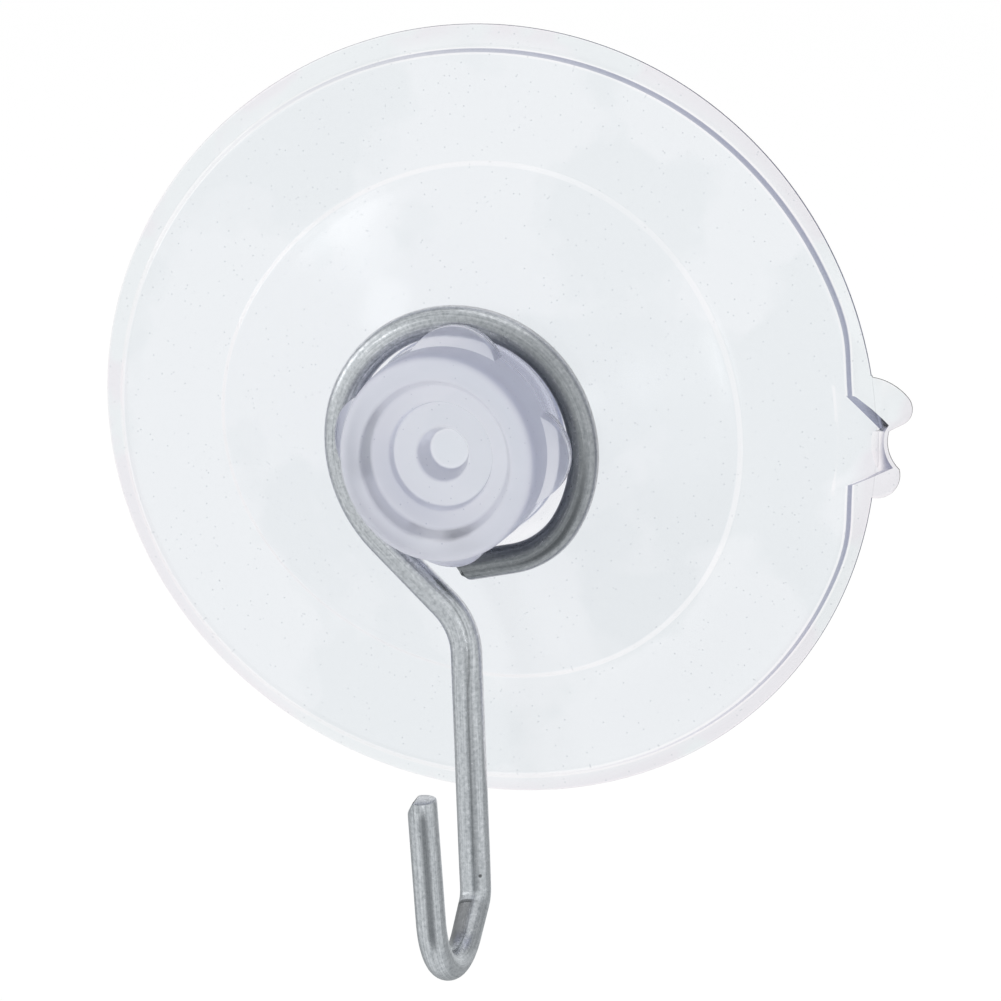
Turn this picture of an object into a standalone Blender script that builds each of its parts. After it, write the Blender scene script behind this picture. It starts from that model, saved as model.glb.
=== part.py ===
"""Clear moulded suction cup with a bent wire hook that turns on its stem.

The cup is one soft PVC moulding: a thin lip, a flange, a dome with a creased
foot, a solid stem with a stepped pocket in its end, four lugs that keep the
wire on the stem, and a two-eared tab for peeling the lip off the glass.
The hook is one length of galvanised wire: an open ring, a shank and a J.

The glass is the plane y = 0 and the stem points to -Y. +Z is up.
Sizes of a turned profile are (radius, height out from the glass).
"""

import math

import bmesh
import bpy
from mathutils import Matrix, Vector

MM = 0.001

# Cup: lip, flange and dome
rim_radius = 32.0 * MM
lip_width = 1.3 * MM
lip_edge_thickness = 0.25 * MM
lip_thickness = 0.4 * MM
flange_step = 0.85 * MM
flange_step_slope = 0.3 * MM
flange_width = 9.1 * MM
sealing_face_width = 2.1 * MM
crease_height = 2.0 * MM
crease_step = 0.3 * MM
flange_wall_at_crease = 1.3 * MM
dome_height = 7.9 * MM
dome_wall = 2.3 * MM
hollow_flat_radius = 5.0 * MM

# Curves of the cup's section: the two handles of each, as shares of its run and of its rise
dome_curve = ((0.35, 0.20), (0.70, 0.78))
flange_curve = ((0.35, 0.20), (0.70, 0.80))
flare_curve = ((0.35, 0.15), (0.70, 0.60))
hollow_curve = ((0.35, 0.37), (0.62, 1.00))

# Stem and the stepped pocket in its end
stem_radius = 8.3 * MM
stem_end_length = 3.7 * MM
stem_foot_fillet = 0.7 * MM
stem_edge_fillet = 0.8 * MM
stem_wall = 2.0 * MM
pocket_depth = 1.1 * MM
pocket_taper = 0.4 * MM
pocket_ledge_width = 1.6 * MM
pocket_ledge_fall = 0.5 * MM
well_step = 0.7 * MM
well_taper = 0.15 * MM
hole_radius = 2.15 * MM
hole_taper = 0.25 * MM
hole_depth = 3.2 * MM
hole_edge = 0.15 * MM

# Lugs round the stem
lug_count = 4
lug_turn = math.radians(-3.0)
lug_nose_radius = 3.8 * MM
lug_reach = 1.05 * MM
lug_edge_thickness = 0.7 * MM
lug_ramp_height = 1.6 * MM

# Peeling tab at the side of the lip; a side is a distance up from the tab's middle
tab_half_width = 5.05 * MM
tab_lift = 0.1 * MM
tab_overlap = 0.3 * MM
tab_step = 0.05 * MM
tab_notch_reach = 0.93 * MM
tab_notch_radius = 3.05 * MM
tab_notch_side = -0.31 * MM
tab_notch_arc = (math.radians(227.5), math.radians(164.0))
upper_ear_radius = 1.44 * MM
upper_ear_reach = 2.94 * MM
upper_ear_side = 2.43 * MM
upper_ear_end = math.radians(41.0)
upper_crown_radius = 4.5 * MM
upper_crown_end = math.radians(84.0)
lower_ear_radius = 2.0 * MM
lower_ear_reach = 1.98 * MM
lower_ear_side = -3.05 * MM
lower_ear_start = math.radians(-97.0)
web_half_width = 4.1 * MM
web_slope = 0.7 * MM
web_setback = 0.15 * MM
web_ramp = 1.5 * MM
web_notch_arc = (math.radians(222.0), math.radians(154.0))
web_ramp_arc = (math.radians(200.0), math.radians(174.0))

# Wire hook; its angles run anticlockwise from +X, seen with the stem towards the eye
wire_diameter = 2.4 * MM
ring_clearance = 0.56 * MM
ring_seat_gap = 0.25 * MM
wire_end_play = 0.35 * MM
ring_start = math.radians(-87.0)
ring_release = math.radians(180.0)
ring_release_growth = 1.7 * MM
ring_end = math.radians(226.6)
neck_length = 7.0 * MM
neck_bend_radius = 5.8 * MM
shank_length = 19.5 * MM
shank_lean = math.radians(2.2)
kink_inner_radius = 0.4 * MM
kink_turn = math.radians(50.0)
foot_length = 3.1 * MM
throat_radius = 4.4 * MM
tip_angle = math.radians(84.0)
tip_length = 10.45 * MM
tip_cut_angle = math.radians(38.0)
tip_cut_setback = 0.2 * MM
hook_twist = math.radians(2.0)

# Faceting
turned_segments = 64
curve_steps = 8
short_curve_steps = 4
fillet_steps = 3
lug_facets = 28
wire_sides = 12
degrees_per_wire_step = 7.5
merge_distance = 0.001 * MM

# Values that follow from the sizes above
wire_radius = wire_diameter / 2
lip_foot_radius = rim_radius - lip_width
crease_radius = lip_foot_radius - flange_width
flange_edge_height = lip_thickness + flange_step
sealing_face_radius = rim_radius - sealing_face_width
hollow_height = dome_height - dome_wall
ring_radius = stem_radius + ring_clearance + wire_radius
ring_drop = ring_clearance - ring_seat_gap
wire_height = dome_height + wire_end_play + wire_radius
lug_under_height = wire_height + wire_radius + wire_end_play
lug_edge_height = lug_under_height + lug_edge_thickness
lug_top_height = lug_edge_height + lug_ramp_height
lug_radius = stem_radius + lug_reach
stem_height = lug_top_height + stem_end_length
pocket_radius = stem_radius - stem_wall
pocket_foot_radius = pocket_radius - pocket_taper
well_rim_radius = pocket_foot_radius - pocket_ledge_width
upper_ear_centre = (rim_radius + upper_ear_reach - upper_ear_radius, upper_ear_side)
lower_ear_centre = (rim_radius + lower_ear_reach - lower_ear_radius, lower_ear_side)
tab_notch_centre = (rim_radius + tab_notch_reach + tab_notch_radius, tab_notch_side)


def arc(centre, radius, start, end, count):
    """Points on an arc in a plane, from one angle to another, both ends included."""
    turn = (end - start) / count
    return [
        (centre[0] + radius * math.cos(start + turn * i), centre[1] + radius * math.sin(start + turn * i))
        for i in range(count + 1)
    ]


def curve(start, end, handles, count):
    """Points on a cubic curve, both ends included; its handles are shares of the run and the rise."""
    run = end[0] - start[0]
    rise = end[1] - start[1]
    first, second = [(start[0] + run * h[0], start[1] + rise * h[1]) for h in handles]
    points = []
    for i in range(count + 1):
        t = i / count
        s = 1 - t
        weights = (s * s * s, 3 * s * s * t, 3 * s * t * t, t * t * t)
        points.append(tuple(sum(w * p[k] for w, p in zip(weights, (start, first, second, end))) for k in (0, 1)))
    return points


def make_material(name, colour, roughness, metallic=0.0, transmission=0.0):
    """A Principled material in one plain colour."""
    material = bpy.data.materials.new(name)
    material.use_nodes = True
    shader = material.node_tree.nodes["Principled BSDF"]
    shader.inputs["Base Color"].default_value = (*colour, 1.0)
    shader.inputs["Roughness"].default_value = roughness
    shader.inputs["Metallic"].default_value = metallic
    shader.inputs["Transmission Weight"].default_value = transmission
    material.diffuse_color = (*colour, 1.0)
    return material


def add_object(name, bm, material=None):
    """Turns a bmesh into a smooth-shaded object in the scene."""
    bmesh.ops.recalc_face_normals(bm, faces=bm.faces)
    mesh = bpy.data.meshes.new(name)
    bm.to_mesh(mesh)
    bm.free()
    mesh.shade_smooth()
    mesh.set_sharp_from_angle(angle=math.radians(30))
    if material is not None:
        mesh.materials.append(material)
    thing = bpy.data.objects.new(name, mesh)
    bpy.context.collection.objects.link(thing)
    return thing


def turned(name, profile, material=None):
    """Spins a (radius, height) profile about the cup's axis."""
    bm = bmesh.new()
    verts = [bm.verts.new((r, -h, 0)) for r, h in profile]
    edges = [bm.edges.new(pair) for pair in zip(verts, verts[1:])]
    bmesh.ops.spin(
        bm,
        geom=verts + edges,
        cent=(0, 0, 0),
        axis=(0, 1, 0),
        angle=2 * math.pi,
        steps=turned_segments,
        use_merge=True,
    )
    bmesh.ops.remove_doubles(bm, verts=bm.verts, dist=merge_distance)
    return add_object(name, bm, material)


def plate(name, foot, top, low, high):
    """A plate between two outlines in X and Z, which lie at two heights out from the glass."""
    bm = bmesh.new()
    for outline, height in ((foot, low), (top, high)):
        bm.faces.new([bm.verts.new((x, -height, z)) for x, z in outline])
    bmesh.ops.bridge_loops(bm, edges=bm.edges)
    return add_object(name, bm)


def combine(base, tool, operation):
    """Adds a Boolean modifier and keeps its tool out of the finished model."""
    modifier = base.modifiers.new(tool.name, "BOOLEAN")
    modifier.object = tool
    modifier.operation = operation
    modifier.solver = "EXACT"
    tool.hide_render = True
    tool.display_type = "WIRE"


def pocket_profile():
    """The stepped pocket, from the bottom of its middle hole out to its mouth."""
    pocket_floor = stem_height - pocket_depth
    well_rim = pocket_floor - pocket_ledge_fall
    well_floor = well_rim - well_step
    hole_floor = well_floor - hole_depth
    return [
        (0, hole_floor),
        (hole_radius - hole_taper, hole_floor),
        (hole_radius, well_floor - hole_edge),
        (hole_radius + hole_edge, well_floor),
        (well_rim_radius - well_taper, well_floor),
        (well_rim_radius, well_rim),
        (pocket_foot_radius, pocket_floor),
        (pocket_radius, stem_height),
    ]


def front_profile():
    """The side away from the glass, from the stem's end out to the lip's edge."""
    end_edge = arc(
        (stem_radius - stem_edge_fillet, stem_height - stem_edge_fillet),
        stem_edge_fillet, math.pi / 2, 0, fillet_steps,
    )
    foot_radius = stem_radius + stem_foot_fillet
    foot = arc((foot_radius, dome_height + stem_foot_fillet), stem_foot_fillet, math.pi, 1.5 * math.pi, fillet_steps)
    crease_top = (crease_radius - crease_step, crease_height + crease_step)
    dome = curve((foot_radius, dome_height), crease_top, dome_curve, curve_steps)
    flange_edge = (lip_foot_radius - flange_step_slope, flange_edge_height)
    flange = curve((crease_radius, crease_height), flange_edge, flange_curve, short_curve_steps)
    lip = [
        (lip_foot_radius, lip_thickness),
        (rim_radius, lip_edge_thickness),
    ]
    return end_edge + foot + dome[1:] + flange + lip


def back_profile():
    """The side towards the glass, from the lip's edge in to the axis."""
    crease_under = (crease_radius, crease_height - flange_wall_at_crease)
    flare = curve((sealing_face_radius, 0), crease_under, flare_curve, short_curve_steps)
    hollow = curve(crease_under, (hollow_flat_radius, hollow_height), hollow_curve, curve_steps)
    return [(rim_radius, 0)] + flare + hollow[1:] + [(0, hollow_height)]


def lug_ramp_profile():
    """The cone that the lugs' ends are trimmed to, flat towards the glass."""
    slope = lug_ramp_height / lug_reach
    foot_radius = lug_radius - lug_nose_radius
    foot_height = lug_edge_height + slope * lug_nose_radius
    return [
        (0, lug_under_height),
        (lug_radius, lug_under_height),
        (lug_radius, lug_edge_height),
        (foot_radius, foot_height),
        (0, foot_height),
    ]


def make_lugs():
    """Four round-nosed lugs, their outer faces sloped so that the ring snaps over them."""
    ramp = turned("lug_ramp", lug_ramp_profile())
    noses = bmesh.new()
    reach = lug_radius - lug_nose_radius
    low = lug_under_height - lug_edge_thickness
    high = lug_top_height + lug_edge_thickness
    for i in range(lug_count):
        angle = lug_turn + 2 * math.pi * i / lug_count
        place = Matrix.Translation((reach * math.cos(angle), -(low + high) / 2, reach * math.sin(angle)))
        bmesh.ops.create_cone(
            noses,
            cap_ends=True,
            segments=lug_facets,
            radius1=lug_nose_radius,
            radius2=lug_nose_radius,
            depth=high - low,
            matrix=place @ Matrix.Rotation(math.pi / 2, 4, "X"),
        )
    lugs = add_object("lugs", noses)
    combine(lugs, ramp, "INTERSECT")
    return lugs


def touching_angle(corner, centre, radius, side):
    """The angle on a circle where a line from a corner touches it, to the left where the side is 1."""
    across = corner[0] - centre[0]
    up = corner[1] - centre[1]
    swing = math.acos(min(radius / math.hypot(across, up), 1))
    return math.atan2(up, across) + side * swing


def tab_outline():
    """Two round ears with a notch between them, closed by an arc inside the lip."""
    root_radius = lip_foot_radius + tab_overlap
    root_angle = math.asin(tab_half_width / root_radius)
    shoulder = (math.sqrt(rim_radius ** 2 - tab_half_width ** 2), tab_half_width)
    notch = arc(tab_notch_centre, tab_notch_radius, *tab_notch_arc, curve_steps)
    lower_ear_end = touching_angle(notch[0], lower_ear_centre, lower_ear_radius, -1)
    upper_ear_start = touching_angle(notch[-1], upper_ear_centre, upper_ear_radius, 1)
    lower_ear = arc(lower_ear_centre, lower_ear_radius, lower_ear_start, lower_ear_end, curve_steps)
    upper_ear = arc(upper_ear_centre, upper_ear_radius, upper_ear_start, upper_ear_end, curve_steps)
    crown_back = upper_crown_radius - upper_ear_radius
    crown_centre = (
        upper_ear_centre[0] - crown_back * math.cos(upper_ear_end),
        upper_ear_centre[1] - crown_back * math.sin(upper_ear_end),
    )
    crown = arc(crown_centre, upper_crown_radius, upper_ear_end, upper_crown_end, short_curve_steps)
    root = arc((0, 0), root_radius, root_angle, -root_angle, curve_steps)
    return lower_ear + notch + upper_ear + crown[1:] + [shoulder] + root


def web_outline(slope, ramp):
    """The thick middle of the tab: its foot, or its top, drawn in by a slope and by a ramp at the notch."""
    root_radius = sealing_face_radius + tab_overlap
    root_angle = math.asin((web_half_width - slope) / root_radius)
    radius = tab_notch_radius + web_setback
    turn = slope / radius
    lower_side, upper_side = web_notch_arc
    lower_corner = arc(tab_notch_centre, radius, lower_side - turn, lower_side - turn, 1)[:1]
    upper_corner = arc(tab_notch_centre, radius, upper_side + turn, upper_side + turn, 1)[:1]
    middle = arc(tab_notch_centre, radius + ramp, *web_ramp_arc, curve_steps)
    root = arc((0, 0), root_radius, root_angle, -root_angle, curve_steps)
    return lower_corner + middle + upper_corner + root


def make_cup(material):
    """The moulding: a turned body, its lugs and its tab, joined into one."""
    tab = plate("tab_plate", tab_outline(), tab_outline(), tab_lift, lip_thickness - tab_step)
    web = plate(
        "tab_web", web_outline(0, 0), web_outline(web_slope, web_ramp),
        2 * tab_lift, flange_edge_height - tab_step,
    )
    combine(tab, web, "UNION")
    cup = turned("suction_cup", pocket_profile() + front_profile() + back_profile(), material)
    combine(cup, make_lugs(), "UNION")
    combine(cup, tab, "UNION")


def add_line(route, plane, heading, length):
    """Adds a straight run to a wire's route, in a plane given by two unit vectors."""
    across, up = plane
    route.append(route[-1] + length * (math.cos(heading) * across + math.sin(heading) * up))


def add_bend(route, plane, heading, turn, radius):
    """Adds a bend, to the left where the turn is positive, and gives the heading after it."""
    across, up = plane
    side = math.copysign(math.pi / 2, turn)
    centre = route[-1] + radius * (math.cos(heading + side) * across + math.sin(heading + side) * up)
    count = math.ceil(abs(math.degrees(turn)) / degrees_per_wire_step)
    for i in range(1, count + 1):
        angle = heading - side + turn * i / count
        route.append(centre + radius * (math.cos(angle) * across + math.sin(angle) * up))
    return heading + turn


def ring_route():
    """The wire's centre line from its free end, round the ring and down the neck to the shank's top."""
    plane = (Vector((1, 0, 0)), Vector((0, 0, 1)))
    centre = Vector((0, -wire_height, -ring_drop))
    route = [centre + ring_radius * Vector((math.cos(ring_start), 0, math.sin(ring_start)))]
    heading = ring_start + math.pi / 2
    heading = add_bend(route, plane, heading, ring_release - ring_start, ring_radius)
    heading = add_bend(route, plane, heading, ring_end - ring_release, ring_radius + ring_release_growth)
    add_line(route, plane, heading, neck_length)
    down = 1.5 * math.pi + shank_lean
    add_bend(route, plane, heading, down - heading, neck_bend_radius)
    return route, Vector((math.cos(down), 0, math.sin(down)))


def hook_route():
    """The whole centre line of the wire, and the direction of the tip's leg."""
    route, shank = ring_route()
    route.append(route[-1] + shank_length * shank)
    outward = Matrix.Rotation(-hook_twist, 3, "Z") @ Vector((0, -1, 0))
    outward = (outward - outward.dot(shank) * shank).normalized()
    plane = (outward, -shank)
    heading = add_bend(route, plane, -math.pi / 2, kink_turn, wire_radius + kink_inner_radius)
    add_line(route, plane, heading, foot_length)
    add_bend(route, plane, heading, tip_angle - heading, throat_radius + wire_radius)
    add_line(route, plane, tip_angle, tip_length)
    return route, math.cos(tip_angle) * plane[0] + math.sin(tip_angle) * plane[1]


def swept_wire(route):
    """Carries the wire's round section along a route and closes both ends."""
    bm = bmesh.new()
    bmesh.ops.create_circle(bm, cap_ends=True, segments=wire_sides, radius=wire_radius)
    end = list(bm.faces)
    frame = Matrix.Identity(4)
    side = Vector((0, 1, 0))
    for i, point in enumerate(route):
        before = route[max(i - 1, 0)]
        after = route[min(i + 1, len(route) - 1)]
        tangent = (after - before).normalized()
        side = (side - side.dot(tangent) * tangent).normalized()
        next_frame = Matrix((side, tangent.cross(side), tangent)).transposed().to_4x4()
        next_frame.translation = point
        if i > 0:
            grown = bmesh.ops.extrude_face_region(bm, geom=end)["geom"]
            if i > 1:
                bmesh.ops.delete(bm, geom=end, context="FACES_ONLY")
            end = [g for g in grown if isinstance(g, bmesh.types.BMFace)]
        moved = list({v for f in end for v in f.verts})
        bmesh.ops.transform(bm, matrix=next_frame @ frame.inverted(), verts=moved)
        frame = next_frame
    return bm, end[0]


def make_hook(material):
    """The wire, with its tip sheared off at a slant."""
    route, tip_leg = hook_route()
    bm, end = swept_wire(route)
    slant = (math.cos(tip_cut_angle) * tip_leg - math.sin(tip_cut_angle) * Vector((1, 0, 0))).normalized()
    leg_faces = {f for v in end.verts for f in v.link_faces}
    leg_edges = {e for f in leg_faces for e in f.edges}
    leg_verts = {v for f in leg_faces for v in f.verts}
    cut = bmesh.ops.bisect_plane(
        bm,
        geom=list(leg_verts) + list(leg_edges) + list(leg_faces),
        plane_co=route[-1] - tip_cut_setback * tip_leg,
        plane_no=slant,
        clear_outer=True,
    )
    bmesh.ops.holes_fill(bm, edges=[g for g in cut["geom_cut"] if isinstance(g, bmesh.types.BMEdge)])
    add_object("wire_hook", bm, material)


def build():
    """Clears the scene and makes the two pieces."""
    for thing in list(bpy.data.objects):
        bpy.data.objects.remove(thing, do_unlink=True)
    make_cup(make_material("clear_pvc", (0.86, 0.89, 0.92), 0.08, transmission=1.0))
    make_hook(make_material("zinc_wire", (0.56, 0.58, 0.58), 0.35, metallic=1.0))


build()
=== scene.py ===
"""A clear moulded suction cup and its zinc-coated wire hook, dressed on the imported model.

The glass is the plane y = 0, the stem points to -Y and the hook hangs down. Lengths are
in millimetres, times MM, and a place on a turned shape is (radius, height out from the glass).
"""

import math

import bmesh
import bpy
from mathutils import Matrix, Vector
from mathutils.geometry import interpolate_bezier


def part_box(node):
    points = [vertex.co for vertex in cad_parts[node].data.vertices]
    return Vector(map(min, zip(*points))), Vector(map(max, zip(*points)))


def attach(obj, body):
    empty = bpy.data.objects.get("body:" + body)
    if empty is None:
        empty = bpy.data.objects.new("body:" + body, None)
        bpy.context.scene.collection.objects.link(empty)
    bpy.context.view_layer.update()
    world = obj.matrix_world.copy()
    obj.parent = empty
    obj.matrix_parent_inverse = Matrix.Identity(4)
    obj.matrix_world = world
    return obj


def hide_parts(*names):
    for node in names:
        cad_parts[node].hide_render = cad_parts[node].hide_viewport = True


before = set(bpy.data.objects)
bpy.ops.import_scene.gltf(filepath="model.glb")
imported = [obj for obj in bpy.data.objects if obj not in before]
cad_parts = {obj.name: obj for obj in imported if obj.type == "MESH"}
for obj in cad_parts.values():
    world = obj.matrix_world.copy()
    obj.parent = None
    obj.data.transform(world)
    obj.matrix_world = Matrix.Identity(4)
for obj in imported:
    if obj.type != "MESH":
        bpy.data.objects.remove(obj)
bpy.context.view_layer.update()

MM = 0.001


# Suction cup: one soft PVC moulding, shot through the end of its stem into a polished steel
# mould, so that every face is glossy and the thick parts show a cool lavender tint.
# First the turned body: thin lip, stepped flange, creased dome and the stem with its pocket.
cup_low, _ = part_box("suction_cup")
rim_radius = -cup_low.x
stem_height = -cup_low.y

# Lip and flange
lip_width = 1.3 * MM
lip_edge_thickness = 0.2 * MM
lip_thickness = 0.4 * MM
step_height = 0.88 * MM
step_slope = 0.38 * MM
flange_width = 9.1 * MM
sealing_face_width = 2.1 * MM
step_radius = rim_radius - lip_width
sealing_face_radius = rim_radius - sealing_face_width

# Crease, dome and hollow
crease_radius = step_radius - flange_width
crease_height = 2.0 * MM
crease_run = 0.42 * MM
crease_rise = 0.5 * MM
crease_wall = 1.3 * MM
dome_height = 7.9 * MM
dome_wall = 2.3 * MM
hollow_height = dome_height - dome_wall
hollow_flat_radius = 5.0 * MM

# Stem, and in its end the pocket, a ledge, the well and a blind hole
stem_radius = 8.3 * MM
stem_draft = 0.1 * MM
stem_wall = 2.0 * MM
root_flare = 0.9 * MM
pocket_depth = 1.1 * MM
pocket_taper = 0.6 * MM
ledge_width = 1.4 * MM
ledge_fall = 0.5 * MM
well_depth = 0.7 * MM
well_taper = 0.15 * MM
hole_radius = 2.15 * MM
hole_bottom_radius = 1.6 * MM
hole_depth = 2.0 * MM
end_radius = stem_radius - stem_draft
pocket_radius = stem_radius - stem_wall
pocket_floor_radius = pocket_radius - pocket_taper
pocket_floor = stem_height - pocket_depth
ledge_radius = pocket_floor_radius - ledge_width
ledge_height = pocket_floor - ledge_fall
well_radius = ledge_radius - well_taper
well_floor = ledge_height - well_depth
hole_floor = well_floor - hole_depth

# Lugs, first as a full collar round the stem
lug_under = 11.0 * MM
lug_edge_thickness = 0.7 * MM
lug_ramp_height = 1.6 * MM
lug_length = 1.55 * MM
lug_edge = lug_under + lug_edge_thickness
lug_top = lug_edge + lug_ramp_height
lug_radius = stem_radius + lug_length
turned_segments = 256
curve_points = 20


def curve(start, end, handles, count):
    """Points on a cubic curve, both ends included; its handles are shares of the run and the rise."""
    run = end[0] - start[0]
    rise = end[1] - start[1]
    shares = ((0, 0), *handles, (1, 1))
    knots = [(start[0] + run * along, start[1] + rise * up, 0) for along, up in shares]
    return [(point[0], point[1]) for point in interpolate_bezier(*knots, count)]


dome_foot = (crease_radius - crease_run, crease_height + crease_rise)
flange_edge = (step_radius - step_slope, lip_thickness + step_height)
crease_under = (crease_radius, crease_height - crease_wall)
hollow_end = (hollow_flat_radius, hollow_height)
dome = curve((stem_radius, dome_height), dome_foot, ((0.35, 0.20), (0.70, 0.78)), curve_points)
flange = curve((crease_radius, crease_height), flange_edge, ((0.35, 0.20), (0.70, 0.80)), curve_points)
flare = curve((sealing_face_radius, 0), crease_under, ((0.35, 0.15), (0.70, 0.60)), curve_points)
hollow = curve(crease_under, hollow_end, ((0.35, 0.37), (0.62, 1.00)), curve_points)

# Each corner of the section is a place and the size of its rounding; a curve's points have none.
# The flare at the stem's root takes the place of the dome's first points.
corners = [
    ((0, hole_floor), 0),
    ((hole_bottom_radius, hole_floor), 0.2 * MM),
    ((hole_radius, well_floor), 0.25 * MM),
    ((well_radius, well_floor), 0.12 * MM),
    ((ledge_radius, ledge_height), 0.15 * MM),
    ((pocket_floor_radius, pocket_floor), 0.2 * MM),
    ((pocket_radius, stem_height), 0.25 * MM),
    ((end_radius, stem_height), 0.9 * MM),
    ((stem_radius, lug_top), 0),
    ((lug_radius, lug_edge), 0.25 * MM),
    ((lug_radius, lug_under), 0.12 * MM),
    ((stem_radius, lug_under), 0),
    ((stem_radius, dome_height + root_flare), 0.45 * MM),
    (dome[2], 0.3 * MM),
]
corners += [(point, 0) for point in dome[3:-1]]
corners += [(dome_foot, 0.08 * MM), ((crease_radius, crease_height), 0.08 * MM)]
corners += [(point, 0) for point in flange[1:-1]]
corners += [
    (flange_edge, 0.25 * MM),
    ((step_radius, lip_thickness), 0.2 * MM),
    ((rim_radius, lip_edge_thickness), 0.15 * MM),
    ((rim_radius, 0), 0.02 * MM),
    ((sealing_face_radius, 0), 0),
]
corners += [(point, 0) for point in flare[1:]]
corners += [(point, 0) for point in hollow[1:]]
corners += [((0, hollow_height), 0)]

body = bmesh.new()
profile = [body.verts.new((radius, -height, 0)) for (radius, height), rounding in corners]
for pair in zip(profile, profile[1:]):
    body.edges.new(pair)
for vert, (place, rounding) in zip(profile, corners):
    if rounding:
        bmesh.ops.bevel(
            body, geom=[vert], offset=rounding, offset_type="OFFSET", segments=4, profile=0.5,
            affect="VERTICES", material=-1,
        )
bmesh.ops.spin(
    body, geom=body.verts[:] + body.edges[:], cent=(0, 0, 0), axis=(0, 1, 0),
    angle=2 * math.pi, steps=turned_segments, use_merge=True,
)

# The spin leaves a collar round the stem, which is drawn in between four round-nosed lugs. They sit a
# little off centre, and reach furthest out at the drift's angle.
lug_count = 4
lug_turn = math.radians(-3.0)
lug_nose_radius = 3.8 * MM
lug_centre = lug_radius - lug_nose_radius
lug_drift = 0.16 * MM
lug_drift_angle = math.radians(-130.0)
collar_margin = 0.2 * MM
slack = 0.001 * MM


def lug_reach(angle):
    """How far the nearest lug stands out of the stem at an angle about the axis."""
    part = 2 * math.pi / lug_count
    drift = lug_drift * math.cos(angle - lug_drift_angle)
    off = (angle - lug_turn + part / 2) % part - part / 2
    side = lug_centre * math.sin(off)
    if abs(side) >= lug_nose_radius:
        return 0
    reach = lug_centre * math.cos(off) + math.sqrt(lug_nose_radius ** 2 - side ** 2) - stem_radius
    return max(reach + drift * max(reach, 0) / (lug_radius - stem_radius), 0)


for vert in body.verts:
    radius = math.hypot(vert.co.x, vert.co.z)
    height = -vert.co.y
    if radius > stem_radius + slack and lug_under - collar_margin < height < lug_top - slack:
        share = lug_reach(math.atan2(vert.co.z, vert.co.x)) / (lug_radius - stem_radius)
        edge = lug_top - (lug_top - lug_edge) * share
        if height > lug_edge:
            height = lug_top - (lug_top - edge) * (lug_top - height) / (lug_top - lug_edge)
        else:
            height = lug_under + (edge - lug_under) * (height - lug_under) / (lug_edge - lug_under)
        drawn = stem_radius + (radius - stem_radius) * share
        vert.co = (vert.co.x * drawn / radius, -height, vert.co.z * drawn / radius)
bmesh.ops.remove_doubles(body, verts=body.verts, dist=2 * slack)

# Soft as it is, the stem is pressed a little oval, upright, and most at its end
oval_narrow = 0.022
oval_tall = 0.032
stem_reach = lug_radius + 0.5 * MM
for vert in body.verts:
    above_dome = -vert.co.y - dome_height
    if above_dome > 0 and math.hypot(vert.co.x, vert.co.z) < stem_reach:
        share = above_dome / (stem_height - dome_height)
        vert.co.x *= 1 - oval_narrow * share
        vert.co.z *= 1 + oval_tall * share

# The soft lip lies out of round. Each circle's shift, oval and three-cornered parts are an amount in
# millimetres and a direction in degrees. At the tab the flange's edge is drawn in.
rim_wander = ((0.14, 89), (0.25, -29), (0.26, -149))
step_wander = ((0.23, -38), (0.46, 2), (0.19, -142))
crease_wander = ((0.28, -78), (0.26, -32), (0.43, -151))
still_radius = 14.0 * MM
tab_pull = 0.85
tab_pull_angle = math.radians(13.5)


def wander(parts, angle):
    """Millimetres by which a circle of the lip strays outwards at an angle."""
    return sum(
        amount * math.cos((i + 1) * angle - math.radians(direction))
        for i, (amount, direction) in enumerate(parts)
    )


for vert in body.verts:
    radius = math.hypot(vert.co.x, vert.co.z)
    if radius > still_radius:
        angle = math.atan2(vert.co.z, vert.co.x)
        drawn_in = tab_pull * math.exp(-(angle / tab_pull_angle) ** 4)
        circles = (
            (still_radius, 0),
            (crease_radius, wander(crease_wander, angle)),
            (step_radius, wander(step_wander, angle) - drawn_in),
            (rim_radius, wander(rim_wander, angle)),
        )
        for (inner, inner_off), (outer, outer_off) in zip(circles, circles[1:]):
            if inner < radius <= outer + 10 * slack:
                share = (radius - inner) / (outer - inner)
                off = (inner_off + (outer_off - inner_off) * share) * MM
                vert.co.x *= (radius + off) / radius
                vert.co.z *= (radius + off) / radius
                break
bmesh.ops.recalc_face_normals(body, faces=body.faces)

# Peeling tab: two round ears with a notch between them, and a thicker web behind the notch that
# slopes down to the ears at its sides and to the notch at its end, where its horn is the share of
# the ramp that is left at the upper corner
tab_half_width = 5.05 * MM
tab_lift = 0.012 * MM
tab_thickness = 0.22 * MM
ear_bevel = 0.06 * MM
upper_ear = ((rim_radius + 1.5 * MM, 2.43 * MM), 1.44 * MM)
upper_ear_end = math.radians(41.0)
crown_radius = 4.5 * MM
crown_end = math.radians(84.0)
lower_ear = ((rim_radius - 0.02 * MM, -3.05 * MM), 2.0 * MM)
lower_ear_start = math.radians(-97.0)
notch_centre = (rim_radius + 3.98 * MM, -0.31 * MM)
notch_radius = 3.05 * MM
notch_arc = (math.radians(227.5), math.radians(164.0))
web_half_width = 5.05 * MM
web_thickness = 1.35 * MM
web_fall = 0.06
web_slope = 0.5 * MM
web_setback = 0.15 * MM
web_ramp = 0.95 * MM
web_notch_arc = (math.radians(222.0), math.radians(154.0))
web_ramp_arc = (math.radians(211.0), math.radians(166.0))
web_horn = 0.25
tab_root_radius = step_radius - 0.3 * MM
web_root_radius = sealing_face_radius - 1.0 * MM
ear_points = 16


def arc(centre, radius, start, end, count=ear_points):
    """Points on an arc in a plane, from one angle to another, both ends included."""
    turn = (end - start) / count
    angles = [start + turn * i for i in range(count + 1)]
    return [
        (centre[0] + radius * math.cos(angle), centre[1] + radius * math.sin(angle)) for angle in angles
    ]


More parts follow.
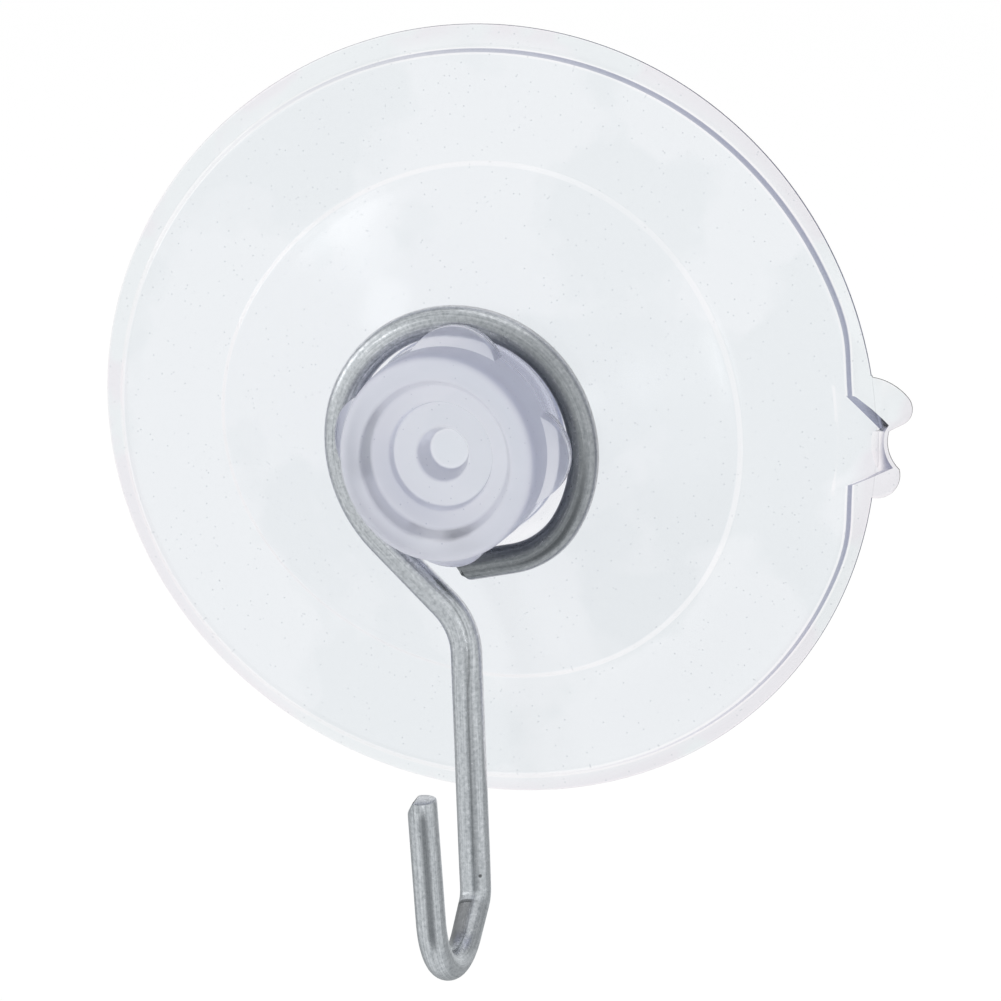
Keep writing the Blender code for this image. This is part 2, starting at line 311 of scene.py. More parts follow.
def touching_angle(corner, centre, radius, side):
    """The angle on a circle where a line from a corner touches it, to the left where the side is 1."""
    across = corner[0] - centre[0]
    up = corner[1] - centre[1]
    swing = math.acos(min(radius / math.hypot(across, up), 1))
    return math.atan2(up, across) + side * swing


def web_outline(slope, ramp):
    """The web's foot, or its top, drawn in by a slope at the sides and by a ramp at the notch."""
    root_angle = math.asin((web_half_width - slope) / web_root_radius)
    radius = notch_radius + web_setback
    turn = slope / radius
    lower_side, upper_side = web_notch_arc
    ends = ((radius + ramp, lower_side - turn), (radius + web_horn * ramp, upper_side + turn))
    lower_corner, upper_corner = [
        (notch_centre[0] + reach * math.cos(angle), notch_centre[1] + reach * math.sin(angle))
        for reach, angle in ends
    ]
    middle = arc(notch_centre, radius + ramp, *web_ramp_arc)
    root = arc((0, 0), web_root_radius, root_angle, -root_angle)
    return [lower_corner, *middle, upper_corner, *root]


def plate(name, foot, top, low, high, fall=0.0):
    """A moulded plate with rounded edges between two outlines; its top falls as it goes outwards."""
    shape = bmesh.new()
    shape.faces.new([shape.verts.new((x, -low, z)) for x, z in foot])
    shape.faces.new([shape.verts.new((x, fall * (x - web_root_radius) - high, z)) for x, z in top])
    bmesh.ops.bridge_loops(shape, edges=shape.edges)
    bmesh.ops.recalc_face_normals(shape, faces=shape.faces)
    flat = [e for e in shape.edges if any(len(f.verts) > 4 for f in e.link_faces)]
    bmesh.ops.bevel(
        shape, geom=flat, offset=ear_bevel, offset_type="OFFSET", segments=2, profile=0.5,
        affect="EDGES", clamp_overlap=True, material=-1,
    )
    mesh = bpy.data.meshes.new(name)
    shape.to_mesh(mesh)
    shape.free()
    thing = bpy.data.objects.new(name, mesh)
    bpy.context.scene.collection.objects.link(thing)
    return thing


notch = arc(notch_centre, notch_radius, *notch_arc)
tab_points = arc(*lower_ear, lower_ear_start, touching_angle(notch[0], *lower_ear, -1)) + notch
tab_points += arc(*upper_ear, touching_angle(notch[-1], *upper_ear, 1), upper_ear_end)
crown_back = crown_radius - upper_ear[1]
crown_centre = (
    upper_ear[0][0] - crown_back * math.cos(upper_ear_end),
    upper_ear[0][1] - crown_back * math.sin(upper_ear_end),
)
tab_points += arc(crown_centre, crown_radius, upper_ear_end, crown_end)[1:]
tab_points += [(math.sqrt(rim_radius ** 2 - tab_half_width ** 2), tab_half_width)]
root_angle = math.asin(tab_half_width / tab_root_radius)
tab_points += arc((0, 0), tab_root_radius, root_angle, -root_angle)
tab = plate("tab_plate", tab_points, tab_points, tab_lift, tab_thickness)
web_foot = web_outline(0, 0)
web_top = web_outline(web_slope, web_ramp)
web = plate("tab_web", web_foot, web_top, 2 * tab_lift, web_thickness, web_fall)

cup_mesh = bpy.data.meshes.new("moulded_cup")
body.to_mesh(cup_mesh)
body.free()
moulded_cup = bpy.data.objects.new("moulded_cup", cup_mesh)
bpy.context.scene.collection.objects.link(moulded_cup)
for base, tool in ((tab, web), (moulded_cup, tab)):
    join = base.modifiers.new("join", "BOOLEAN")
    join.object = tool
    join.operation = "UNION"
    join.solver = "EXACT"
finished_cup = moulded_cup.evaluated_get(bpy.context.evaluated_depsgraph_get())
joined = bpy.data.meshes.new_from_object(finished_cup)
moulded_cup.modifiers.clear()
moulded_cup.data = joined
joined.name = "moulded_cup"
for tool in (tab, web):
    bpy.data.objects.remove(tool, do_unlink=True)
joined.shade_smooth()
joined.set_sharp_from_angle(angle=math.radians(30))


def linear(code):
    """A linear colour from an sRGB hex code."""
    parts = [int(code[i:i + 2], 16) / 255 for i in (1, 3, 5)]
    return tuple(p / 12.92 if p <= 0.04045 else ((p + 0.055) / 1.055) ** 2.4 for p in parts) + (1,)


def add_node(tree, kind, values=None, links=None, stops=(), **settings):
    """Adds a node with its settings, its sockets' values and sources, and a ramp's stops."""
    node = tree.nodes.new(kind)
    for name, value in settings.items():
        setattr(node, name, value)
    for socket, value in (values or {}).items():
        node.inputs[socket].default_value = value
    for socket, source in (links or {}).items():
        tree.links.new(source, node.inputs[socket])
    for i, (position, code) in enumerate(stops):
        elements = node.color_ramp.elements
        element = elements[i] if i < 2 else elements.new(position)
        element.position = position
        element.color = linear(code)
    return node


# Clear soft PVC, gloss-moulded: almost colourless where thin, lavender where light runs far
# inside it, with a faint waviness of the skin. The stem's end, where it was shot, is hazier.
clear_pvc = bpy.data.materials.new("clear_soft_pvc")
clear_pvc.use_nodes = True
tree = clear_pvc.node_tree
tree.nodes.clear()
place = add_node(tree, "ShaderNodeTexCoord")
waves_per_metre = 1 / (4 * MM)
waves = add_node(
    tree, "ShaderNodeTexNoise", {"Scale": waves_per_metre, "Detail": 2.0},
    {"Vector": place.outputs["Object"]},
)
skin = add_node(
    tree, "ShaderNodeBump", {"Strength": 0.15, "Distance": 0.05 * MM}, {"Height": waves.outputs["Fac"]},
)
height_out = add_node(tree, "ShaderNodeSeparateXYZ", {}, {0: place.outputs["Object"]})
haze = add_node(
    tree, "ShaderNodeMapRange",
    {"From Min": -lug_under, "From Max": -lug_top - 0.5 * MM, "To Min": 0.16, "To Max": 0.58},
    {"Value": height_out.outputs["Y"]},
)

# The thin lip is faintly pink, the skin has faint duller patches and dust sits all over it. The
# specks are drawn up to 0.15 mm across, coarser than most real dust, so that they show.
across = add_node(
    tree, "ShaderNodeVectorMath", {1: (1.0, 0.0, 1.0)}, {0: place.outputs["Object"]},
    operation="MULTIPLY",
)
from_axis = add_node(tree, "ShaderNodeVectorMath", {}, {0: across.outputs[0]}, operation="LENGTH")
lip = add_node(
    tree, "ShaderNodeMapRange", {"From Min": step_radius - 0.5 * MM, "From Max": step_radius + 0.8 * MM},
    {"Value": from_axis.outputs["Value"]},
)
lip_tint = add_node(
    tree, "ShaderNodeValToRGB", {}, {"Fac": lip.outputs["Result"]},
    stops=((0.0, "#FEFEFF"), (1.0, "#F9F5F8")),
)
patches_per_metre = 1 / (16 * MM)
clouds = add_node(
    tree, "ShaderNodeTexNoise", {"Scale": patches_per_metre, "Detail": 4.0, "Roughness": 0.45},
    {"Vector": place.outputs["Object"]},
)
cloud = add_node(
    tree, "ShaderNodeMapRange", {"From Min": 0.49, "From Max": 0.52}, {"Value": clouds.outputs["Fac"]},
)
cloud_tint = add_node(
    tree, "ShaderNodeMix", {7: linear("#F9FAFB")},
    {0: cloud.outputs["Result"], 6: lip_tint.outputs["Color"]}, data_type="RGBA",
)
specks_per_metre = 1 / (0.8 * MM)
dust = add_node(
    tree, "ShaderNodeTexVoronoi", {"Scale": specks_per_metre}, {"Vector": place.outputs["Object"]},
)
speck = add_node(
    tree, "ShaderNodeMapRange", {"From Min": 0.11, "From Max": 0.06},
    {"Value": dust.outputs["Distance"]},
)
skin_tint = add_node(
    tree, "ShaderNodeMix", {7: linear("#D6D8DC")},
    {0: speck.outputs["Result"], 6: cloud_tint.outputs[2]}, data_type="RGBA",
)
pvc = add_node(
    tree, "ShaderNodeBsdfPrincipled", {"IOR": 1.53, "Transmission Weight": 1.0},
    {
        "Base Color": skin_tint.outputs[2], "Normal": skin.outputs["Normal"],
        "Roughness": haze.outputs["Result"],
    },
)
tint = add_node(tree, "ShaderNodeVolumeAbsorption", {"Color": linear("#E2E4EE"), "Density": 90.0})
add_node(
    tree, "ShaderNodeOutputMaterial", {},
    {"Surface": pvc.outputs["BSDF"], "Volume": tint.outputs["Volume"]},
)
joined.materials.clear()
joined.materials.append(clear_pvc)
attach(moulded_cup, "cup")
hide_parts("suction_cup")


# Wire hook: one length of drawn steel wire with a dull zinc coat, bent into an open ring, a
# neck, a shank and a J, and sheared off at both ends. Its ring is sprung over the lugs and
# hangs loose on the stem, a little low.
wire_radius = 1.2 * MM
ring_clearance = 0.56 * MM
ring_above_dome = 0.35 * MM
ring_sag = 0.31 * MM
ring_radius = stem_radius + ring_clearance + wire_radius
ring_centre = Vector((0, -dome_height - ring_above_dome - wire_radius, -ring_sag))

# Ring, from its free end: straight, a tight bend, a wide bend, round, and easing out to the neck.
# Angles are about the centre of each bend.
end_length = 5.4 * MM
curl_radius = 6.7 * MM
curl_start = math.radians(-77.6)
open_radius = 11.0 * MM
open_start = math.radians(-30.0)
ring_start = math.radians(35.0)
ring_release = math.radians(180.0)
ring_growth = 1.7 * MM
ring_end = math.radians(226.6)
ring_cut_angle = math.radians(-28.0)
ring_cut_setback = 1.0 * MM

# Neck, shank and J; the kink and the throat have their inner radius given
neck_length = 7.0 * MM
neck_bend_radius = 5.8 * MM
shank_length = 19.5 * MM
shank_lean = math.radians(2.2)
kink_inner_radius = 0.4 * MM
kink_radius = kink_inner_radius + wire_radius
kink_turn = math.radians(50.0)
foot_length = 3.1 * MM
throat_inner_radius = 4.4 * MM
throat_radius = throat_inner_radius + wire_radius
tip_angle = math.radians(84.0)
tip_length = 10.45 * MM
tip_cut_angle = math.radians(60.0)
tip_cut_overrun = 0.85 * MM
hook_twist = math.radians(2.0)
degrees_per_bend_step = 3.0
straight_step = 1.5 * MM
wire_sides = 32


def add_line(route, plane, heading, length):
    """Adds a straight run to the route, in short steps."""
    direction = math.cos(heading) * plane[0] + math.sin(heading) * plane[1]
    count = math.ceil(length / straight_step)
    for _ in range(count):
        route.append(route[-1] + length / count * direction)


def add_bend(route, plane, heading, turn, radius):
    """Adds a bend, to the left where the turn is positive, and gives the heading after it."""
    side = math.copysign(math.pi / 2, turn)
    toward = math.cos(heading + side) * plane[0] + math.sin(heading + side) * plane[1]
    centre = route[-1] + radius * toward
    count = math.ceil(abs(math.degrees(turn)) / degrees_per_bend_step)
    for i in range(1, count + 1):
        angle = heading - side + turn * i / count
        route.append(centre + radius * (math.cos(angle) * plane[0] + math.sin(angle) * plane[1]))
    return heading + turn


def spoke(angle):
    """The direction from the ring's centre at an angle."""
    return Vector((math.cos(angle), 0, math.sin(angle)))


ring_plane = (Vector((1, 0, 0)), Vector((0, 0, 1)))
open_centre = ring_centre + (ring_radius - open_radius) * spoke(ring_start)
curl_centre = open_centre + (open_radius - curl_radius) * spoke(open_start)
heading = curl_start + math.pi / 2
route = [curl_centre + curl_radius * spoke(curl_start) - end_length * spoke(heading)]
add_line(route, ring_plane, heading, end_length)
heading = add_bend(route, ring_plane, heading, open_start - curl_start, curl_radius)
heading = add_bend(route, ring_plane, heading, ring_start - open_start, open_radius)
heading = add_bend(route, ring_plane, heading, ring_release - ring_start, ring_radius)
heading = add_bend(route, ring_plane, heading, ring_end - ring_release, ring_radius + ring_growth)
flat_start = sum((after - before).length for before, after in zip(route, route[1:]))
add_line(route, ring_plane, heading, neck_length)
down = 1.5 * math.pi + shank_lean
add_bend(route, ring_plane, heading, down - heading, neck_bend_radius)
add_line(route, ring_plane, down, shank_length)
shank = Vector((math.cos(down), 0, math.sin(down)))
outward = Matrix.Rotation(-hook_twist, 3, "Z") @ Vector((0, -1, 0))
outward = (outward - outward.dot(shank) * shank).normalized()
hook_plane = (outward, -shank)
heading = add_bend(route, hook_plane, -math.pi / 2, kink_turn, kink_radius)
add_line(route, hook_plane, heading, foot_length)
add_bend(route, hook_plane, heading, tip_angle - heading, throat_radius)
add_line(route, hook_plane, tip_angle, tip_length)
tip_leg = math.cos(tip_angle) * hook_plane[0] + math.sin(tip_angle) * hook_plane[1]

# The section is carried along the route, pressed a little flat from the neck to the kink, and each
# vertex keeps its place round and along the wire, turned with the twist that the neck's bend gave it
flat_length = 30 * MM
flat_run = 8.0 * MM
flat_width = 1.07
bend_twist = math.radians(25.0)


def flatness(place):
    """How far the flattening has come at a place along the wire, from 0 to 1 and back."""
    rise = min(max((place - flat_start) / flat_run, 0), 1)
    fall = min(max((flat_start + neck_length + flat_length - place) / flat_run, 0), 1)
    return rise * fall


wire = bmesh.new()
around = wire.verts.layers.float_vector.new("wire_place")
bmesh.ops.create_circle(wire, cap_ends=True, segments=wire_sides, radius=wire_radius)
end = list(wire.faces)
for vert in wire.verts:
    vert[around] = (vert.co.x / wire_radius, vert.co.y / wire_radius, 0)
section = Matrix.Identity(4)
side = Vector((0, 1, 0))
travelled = 0
for i, point in enumerate(route):
    before = route[max(i - 1, 0)]
    after = route[min(i + 1, len(route) - 1)]
    tangent = (after - before).normalized()
    side = (side - side.dot(tangent) * tangent).normalized()
    travelled += (point - before).length
    width = 1 + (flat_width - 1) * flatness(travelled)
    next_section = Matrix((side, width * tangent.cross(side), tangent)).transposed().to_4x4()
    next_section.translation = point
    if i > 0:
        grown = bmesh.ops.extrude_face_region(wire, geom=end)["geom"]
        if i > 1:
            bmesh.ops.delete(wire, geom=end, context="FACES_ONLY")
        end = [g for g in grown if isinstance(g, bmesh.types.BMFace)]
    moved = list({v for f in end for v in f.verts})
    bmesh.ops.transform(wire, matrix=next_section @ section.inverted(), verts=moved)
    for vert in moved:
        vert[around] = (vert[around].x, vert[around].y, travelled)
    section = next_section

# Both ends are sheared at a slant: the tip at its left corner, the ring's end at its outer one
tip_slant = math.cos(tip_cut_angle) * tip_leg - math.sin(tip_cut_angle) * Vector((1, 0, 0))
ring_leg = (route[0] - route[1]).normalized()
ring_slant = math.cos(ring_cut_angle) * ring_leg + math.sin(ring_cut_angle) * Vector((0, 0, 1))
tip_start = travelled - tip_length
past_tip = travelled + 1 * MM
before_ring = -1 * MM
shears = (
    (tip_start, past_tip, route[-1] + tip_cut_overrun * tip_leg, tip_slant),
    (before_ring, end_length, route[0] - ring_cut_setback * ring_leg, ring_slant),
)
for first, last, cut_place, cut_direction in shears:
    near = [v for v in wire.verts if first < v[around].z <= last]
    faces = {f for v in near for f in v.link_faces}
    edges = {e for f in faces for e in f.edges}
    verts = {v for f in faces for v in f.verts}
    cut = bmesh.ops.bisect_plane(
        wire, geom=list(verts) + list(edges) + list(faces), plane_co=cut_place,
        plane_no=cut_direction.normalized(), clear_outer=True,
    )
    rim = [g for g in cut["geom_cut"] if isinstance(g, bmesh.types.BMEdge)]
    bmesh.ops.holes_fill(wire, edges=rim)
for vert in wire.verts:
    x, y, place = vert[around]
    twist = bend_twist * min(max((place - flat_start - neck_length) / flat_run, 0), 1)
    vert[around] = (
        x * math.cos(twist) + y * math.sin(twist), y * math.cos(twist) - x * math.sin(twist), place,
    )
burr_rounding = 0.15 * MM
ends = {e for f in wire.faces if len(f.verts) > 4 for e in f.edges}
bmesh.ops.bevel(
    wire, geom=list(ends), offset=burr_rounding, offset_type="OFFSET", segments=2, profile=0.5,
    affect="EDGES", material=-1,
)
bmesh.ops.recalc_face_normals(wire, faces=wire.faces)
wire_mesh = bpy.data.meshes.new("bent_wire")
wire.to_mesh(wire_mesh)
wire.free()
wire_mesh.shade_smooth()
wire_mesh.set_sharp_from_angle(angle=math.radians(40))
bent_wire = bpy.data.objects.new("bent_wire", wire_mesh)
bpy.context.scene.collection.objects.link(bent_wire)

# Drawn steel wire with an electroplated zinc coat: dull blue-grey metal with die lines along its length,
# a darker seam down the front and a few marks, with painted shade on the ring's open side and on the
# hook's foot.
zinc = bpy.data.materials.new("drawn_zinc_wire")
zinc.use_nodes = True
tree = zinc.node_tree
tree.nodes.clear()
on_wire = add_node(tree, "ShaderNodeAttribute", attribute_name="wire_place")

# The attribute gives a place round the wire as a unit circle and one along it in metres. The die
# lines and the blotches of the zinc are drawn coarser than real ones, so that they show.
lines_round = wire_radius / (0.133 * MM)
lines_along = 1 / (11.1 * MM)
lengthwise = add_node(
    tree, "ShaderNodeMapping", {"Scale": (lines_round, lines_round, lines_along)},
    {"Vector": on_wire.outputs["Vector"]},
)
die_lines = add_node(
    tree, "ShaderNodeTexNoise", {"Scale": 1.0, "Detail": 3.0, "Roughness": 0.6},
    {"Vector": lengthwise.outputs["Vector"]},
)
blotches_round = wire_radius / (0.3 * MM)
blotches_along = 1 / (0.3125 * MM)
blotched = add_node(
    tree, "ShaderNodeMapping", {"Scale": (blotches_round, blotches_round, blotches_along)},
    {"Vector": on_wire.outputs["Vector"]},
)
blotches = add_node(
    tree, "ShaderNodeTexNoise", {"Scale": 1.0, "Detail": 5.0, "Roughness": 0.7},
    {"Vector": blotched.outputs["Vector"]},
)
marks = add_node(
    tree, "ShaderNodeMix", {0: 0.55}, {2: die_lines.outputs["Fac"], 3: blotches.outputs["Fac"]},
    data_type="FLOAT",
)
zinc_tone = add_node(
    tree, "ShaderNodeValToRGB", {}, {"Fac": marks.outputs[0]},
    stops=((0.35, "#A9ADB0"), (0.63, "#ECEEF0")),
)

# The seam that the die and the bending rolls left: a narrow band at one place round the wire
seam_angle = math.radians(143.0)
seam_half_angle = math.radians(8.0)
place_parts = add_node(tree, "ShaderNodeSeparateXYZ", {}, {0: on_wire.outputs["Vector"]})
near_seam = add_node(
    tree, "ShaderNodeVectorMath", {1: (math.cos(seam_angle), math.sin(seam_angle), 0.0)},
    {0: on_wire.outputs["Vector"]}, operation="DOT_PRODUCT",
)
seam = add_node(
    tree, "ShaderNodeMapRange", {"From Min": math.cos(seam_half_angle), "From Max": 1.0},
    {"Value": near_seam.outputs["Value"]}, interpolation_type="SMOOTHSTEP",
)
seam_shade = add_node(
    tree, "ShaderNodeMath", {1: 0.45}, {0: seam.outputs["Result"]}, operation="MULTIPLY",
)
toned = add_node(
    tree, "ShaderNodeMix", {7: linear("#5A5E62")},
    {0: seam_shade.outputs[0], 6: zinc_tone.outputs["Color"]}, data_type="RGBA",
)

# Painted shade: the ring's open side is painted darker, most where the wire faces the stem
faces_stem = add_node(
    tree, "ShaderNodeMapRange", {"From Min": -0.9, "From Max": 0.5, "To Min": 0.35, "To Max": 1.0},
    {"Value": place_parts.outputs["Y"]},
)
open_side = add_node(
    tree, "ShaderNodeMapRange", {"From Min": 38 * MM, "From Max": 26 * MM, "To Max": 0.9},
    {"Value": place_parts.outputs["Z"]},
)
ring_painted_shade = add_node(
    tree, "ShaderNodeMath", {}, {0: faces_stem.outputs["Result"], 1: open_side.outputs["Result"]},
    operation="MULTIPLY",
)
# the painted shade's tone, mixed over the seamed zinc
shaded = add_node(
    tree, "ShaderNodeMix", {7: linear("#5A5E61")},
    {0: ring_painted_shade.outputs[0], 6: toned.outputs[2]}, data_type="RGBA",
)

# Left of the seam, a dark mark runs across the end of the kink, and the foot below it is painted darker
# as painted shade. The kink is found by going back from the tip.
left_of_seam = add_node(
    tree, "ShaderNodeVectorMath", {1: (-math.sin(seam_angle), math.cos(seam_angle), 0.0)},
    {0: on_wire.outputs["Vector"]}, operation="DOT_PRODUCT",
)
darkened_side = add_node(
    tree, "ShaderNodeMapRange", {"From Min": 0.0, "From Max": 0.15, "To Min": 0.2, "To Max": 1.0},
    {"Value": left_of_seam.outputs["Value"]},
)
throat_turn = tip_angle + math.pi / 2 - kink_turn
kink_place = travelled - tip_length - throat_radius * throat_turn - foot_length - kink_radius * kink_turn
mark_place = kink_place + 1.95 * MM
mark_half_width = 0.16 * MM
mark_fade = 0.1 * MM
foot_shade_end = kink_place + 5.5 * MM
foot_shade_fade = 2.5 * MM
below_kink = add_node(
    tree, "ShaderNodeMapRange", {"From Min": mark_place - mark_fade, "From Max": mark_place + mark_fade},
    {"Value": place_parts.outputs["Z"]},
)
above_throat = add_node(
    tree, "ShaderNodeMapRange", {"From Min": foot_shade_end + foot_shade_fade, "From Max": foot_shade_end},
    {"Value": place_parts.outputs["Z"]},
)
foot_painted_shade = add_node(
    tree, "ShaderNodeMath", {}, {0: below_kink.outputs["Result"], 1: above_throat.outputs["Result"]},
    operation="MULTIPLY",
)
on_mark = add_node(
    tree, "ShaderNodeMath", {1: mark_place, 2: mark_half_width}, {0: place_parts.outputs["Z"]},
    operation="COMPARE",
)
marked_and_shaded = shaded
# first the foot's painted shade, then the dark mark over it, both on the left of the seam only
for darkened_part, tone in ((foot_painted_shade, "#6E6C6C"), (on_mark, "#3C3D3F")):
    darkened = add_node(
        tree, "ShaderNodeMath", {}, {0: darkened_part.outputs[0], 1: darkened_side.outputs["Result"]},
        operation="MULTIPLY",
    )
    darkening = add_node(
        tree, "ShaderNodeMath", {1: 0.6}, {0: darkened.outputs[0]}, operation="MULTIPLY",
    )
    marked_and_shaded = add_node(
        tree, "ShaderNodeMix", {7: linear(tone)}, {0: darkening.outputs[0], 6: marked_and_shaded.outputs[2]},
        data_type="RGBA",
    )

# One small pit in the coat, just above the kink; the distance from it is in wire radii
pit_angle = math.radians(121.0)
pit_above_kink = 1.2 * MM
pit_along = (kink_place - pit_above_kink) / wire_radius
pit_place = Vector((math.cos(pit_angle), math.sin(pit_angle), pit_along))
even_place = add_node(
    tree, "ShaderNodeVectorMath", {1: (1.0, 1.0, 1 / wire_radius)}, {0: on_wire.outputs["Vector"]},
    operation="MULTIPLY",
)
from_pit = add_node(
    tree, "ShaderNodeVectorMath", {1: pit_place}, {0: even_place.outputs[0]}, operation="DISTANCE",
)
in_pit = add_node(
    tree, "ShaderNodeMapRange", {"From Min": 0.15, "From Max": 0.08, "To Max": 0.8},
    {"Value": from_pit.outputs["Value"]},
)
pitted = add_node(
    tree, "ShaderNodeMix", {7: linear("#3C3D3F")},
    {0: in_pit.outputs["Result"], 6: marked_and_shaded.outputs[2]}, data_type="RGBA",
)

# The seam is a shallow groove, and the coat is duller where it is darker
grooved = add_node(
    tree, "ShaderNodeMath", {1: 0.5}, {0: seam.outputs["Result"]}, operation="MULTIPLY",
)
height = add_node(
    tree, "ShaderNodeMath", {}, {0: marks.outputs[0], 1: grooved.outputs[0]}, operation="SUBTRACT",
)
relief = add_node(
    tree, "ShaderNodeBump", {"Strength": 0.25, "Distance": 0.06 * MM}, {"Height": height.outputs[0]},
)
polish = add_node(
    tree, "ShaderNodeMapRange", {"From Min": 0.35, "From Max": 0.65, "To Min": 0.38, "To Max": 0.24},
    {"Value": marks.outputs[0]},
)
metal = add_node(
    tree, "ShaderNodeBsdfPrincipled", {"Metallic": 1.0},
    {
        "Base Color": pitted.outputs[2], "Normal": relief.outputs["Normal"],
        "Roughness": polish.outputs["Result"],
    },
)
add_node(tree, "ShaderNodeOutputMaterial", {}, {"Surface": metal.outputs["BSDF"]})
wire_mesh.materials.append(zinc)
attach(bent_wire, "hook")
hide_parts("wire_hook")


# Studio: a matt white floor well under the hanging cup, and softboxes above, at the left and in
# front. Light through the cup sees white behind it, a lavender ring round that and a pale room in
# front; the metal sees light panels, a dim room below the camera and grey behind its edges.
def add_surround(tree, direction, rays):
    """The tones of the studio that clear and glossy faces see, by the direction from the cup."""
    parts = add_node(tree, "ShaderNodeSeparateXYZ", {}, {0: direction})
    depth = add_node(
        tree, "ShaderNodeMapRange", {"From Min": -1.0, "From Max": 1.0}, {"Value": parts.outputs["Y"]},
    )
    cup_stops = (
        (0.0, "#F4F5F8"), (0.54, "#F4F5F8"), (0.63, "#9BA0B6"), (0.79, "#9BA0B6"), (0.86, "#FFFFFF"),
        (1.0, "#FFFFFF"),
    )
    pale_panel = ((-0.25, 0.94, -0.23), ((0.972, "#FFFFFF"), (0.988, "#F4F7F8")))
    wire_stops = (
        (0.0, "#E2E5E7"), (0.5, "#E2E5E7"), (0.66, "#AFB2B4"), (0.9, "#AFB2B4"), (1.0, "#F3F6F8"),
    )
    dim_room = ((0.25, -0.76, -0.6), ((0.895, "#FFFFFF"), (0.95, "#8E9092")))
    seen = []
    for round_stops, (spot_direction, spot_stops) in ((cup_stops, pale_panel), (wire_stops, dim_room)):
        round_tone = add_node(
            tree, "ShaderNodeValToRGB", {}, {"Fac": depth.outputs["Result"]}, stops=round_stops,
        )
        towards_spot = add_node(
            tree, "ShaderNodeVectorMath", {1: spot_direction}, {0: direction}, operation="DOT_PRODUCT",
        )
        spot_tone = add_node(
            tree, "ShaderNodeValToRGB", {}, {"Fac": towards_spot.outputs["Value"]}, stops=spot_stops,
        )
        seen.append(add_node(
            tree, "ShaderNodeMix", {0: 1.0},
            {6: round_tone.outputs["Color"], 7: spot_tone.outputs["Color"]},
            data_type="RGBA", blend_type="MULTIPLY",
        ))
    through_cup, mirrored = seen
    tones = add_node(
        tree, "ShaderNodeMix", {},
        {0: rays.outputs["Is Transmission Ray"], 6: mirrored.outputs[2], 7: through_cup.outputs[2]},
        data_type="RGBA",
    )
    return tones.outputs[2]


floor_drop = 120.0 * MM
floor_size = 8.0
floor_shape = bmesh.new()
bmesh.ops.create_grid(
    floor_shape, x_segments=1, y_segments=1, size=floor_size / 2,
    matrix=Matrix.Translation((0, 0, -floor_drop)),
)
floor_mesh = bpy.data.meshes.new("studio_floor")
floor_shape.to_mesh(floor_mesh)
floor_shape.free()
studio_floor = bpy.data.objects.new("studio_floor", floor_mesh)
bpy.context.scene.collection.objects.link(studio_floor)
paper = bpy.data.materials.new("white_paper")
paper.use_nodes = True
tree = paper.node_tree
tree.nodes.clear()
spot = add_node(tree, "ShaderNodeTexCoord")
from_cup = add_node(
    tree, "ShaderNodeVectorMath", {}, {0: spot.outputs["Object"]}, operation="NORMALIZE",
)
rays = add_node(tree, "ShaderNodeLightPath")
tones = add_surround(tree, from_cup.outputs["Vector"], rays)
toned = add_node(tree, "ShaderNodeEmission", {"Strength": 1.0}, {"Color": tones})
matt = add_node(tree, "ShaderNodeBsdfDiffuse", {"Color": linear("#FAFAFA")})
glow = add_node(tree, "ShaderNodeEmission", {"Color": linear("#FFFFFF"), "Strength": 1.0})
straight = add_node(
    tree, "ShaderNodeMath", {1: 0.7}, {0: rays.outputs["Is Camera Ray"]}, operation="MULTIPLY",
)
bent = add_node(
    tree, "ShaderNodeMath", {},
    {0: rays.outputs["Is Glossy Ray"], 1: rays.outputs["Is Transmission Ray"]}, operation="MAXIMUM",
)
lit = add_node(
    tree, "ShaderNodeMixShader", {},
    {0: straight.outputs[0], 1: matt.outputs[0], 2: glow.outputs[0]},
)
shown = add_node(
    tree, "ShaderNodeMixShader", {}, {0: bent.outputs[0], 1: lit.outputs[0], 2: toned.outputs[0]},
)
add_node(tree, "ShaderNodeOutputMaterial", {}, {"Surface": shown.outputs[0]})
floor_mesh.materials.append(paper)

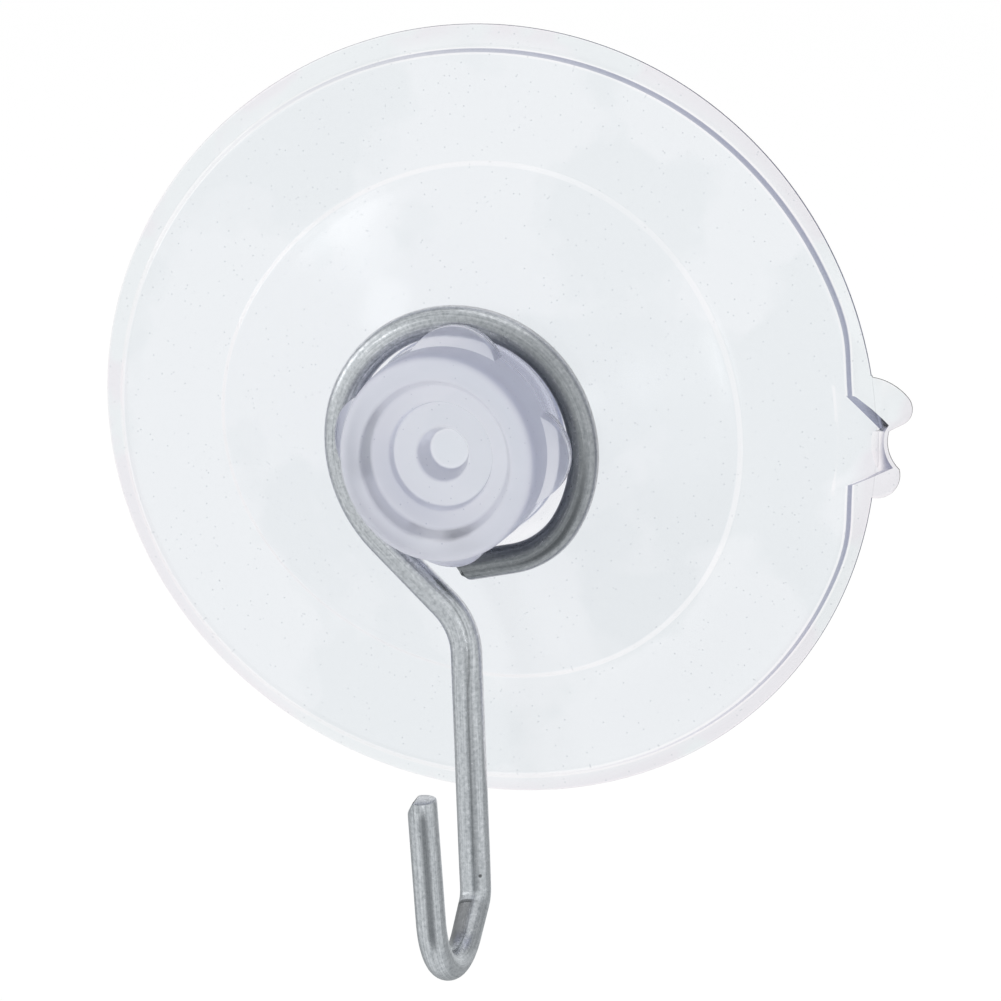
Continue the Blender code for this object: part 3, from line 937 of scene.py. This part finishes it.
# The world shows the same surround to clear and glossy faces, and plain white to everything else
surround = bpy.data.worlds.new("studio_surround")
bpy.context.scene.world = surround
surround.use_nodes = True
tree = surround.node_tree
tree.nodes.clear()
direction = add_node(tree, "ShaderNodeTexCoord")
rays = add_node(tree, "ShaderNodeLightPath")
bent = add_node(
    tree, "ShaderNodeMath", {},
    {0: rays.outputs["Is Glossy Ray"], 1: rays.outputs["Is Transmission Ray"]}, operation="MAXIMUM",
)
tones = add_surround(tree, direction.outputs["Generated"], rays)
toned = add_node(tree, "ShaderNodeBackground", {"Strength": 1.0}, {"Color": tones})
plain = add_node(tree, "ShaderNodeBackground", {"Color": linear("#FFFFFF"), "Strength": 1.0})
shown = add_node(
    tree, "ShaderNodeMixShader", {}, {0: bent.outputs[0], 1: plain.outputs[0], 2: toned.outputs[0]},
)
add_node(tree, "ShaderNodeOutputWorld", {}, {"Surface": shown.outputs[0]})


def softbox(name, place, size, watts):
    """A square area lamp that faces the cup; its place and size are in metres."""
    lamp = bpy.data.lights.new(name, "AREA")
    lamp.size = size
    lamp.energy = watts
    holder = bpy.data.objects.new(name, lamp)
    bpy.context.scene.collection.objects.link(holder)
    holder.location = place
    holder.rotation_euler = (-Vector(place)).to_track_quat("-Z", "Y").to_euler()
    holder.visible_camera = False


softbox("left_softbox", (-0.8, -0.05, 0.25), 0.4, 0.6)
softbox("front_softbox", (-0.29, -0.78, -0.34), 0.35, 0.26)
softbox("front_left_softbox", (-0.6, -0.61, 0.32), 0.22, 0.22)
softbox("front_right_softbox", (0.35, -0.83, -0.02), 0.15, 0.12)
softbox("top_softbox", (0.1, 0.1, 0.8), 0.6, 0.6)


# Camera: a long lens a little above the cup and to its right, framed as the photograph is, which
# is 1001 pixels each way. The rim's centre gives the shift.
frame_pixels = 1001
sensor_width = 36.0
camera_distance = 0.7
camera_azimuth = math.radians(14.885)
camera_elevation = math.radians(13.25)
pixels_per_metre = 12346
rim_centre_pixel = (490.45, 413.03)
lens_data = bpy.data.cameras.new("camera")
lens_data.sensor_width = sensor_width
lens_data.lens = pixels_per_metre * sensor_width * camera_distance / frame_pixels
lens_data.shift_x = (frame_pixels / 2 - rim_centre_pixel[0]) / frame_pixels
lens_data.shift_y = (rim_centre_pixel[1] - frame_pixels / 2) / frame_pixels
camera = bpy.data.objects.new("camera", lens_data)
bpy.context.scene.collection.objects.link(camera)
sight = Vector((
    math.sin(camera_azimuth) * math.cos(camera_elevation),
    -math.cos(camera_azimuth) * math.cos(camera_elevation),
    math.sin(camera_elevation),
))
camera.location = camera_distance * sight
camera.rotation_euler = (-sight).to_track_quat("-Z", "Y").to_euler()
bpy.context.scene.camera = camera
bpy.context.scene.view_settings.view_transform = "Standard"
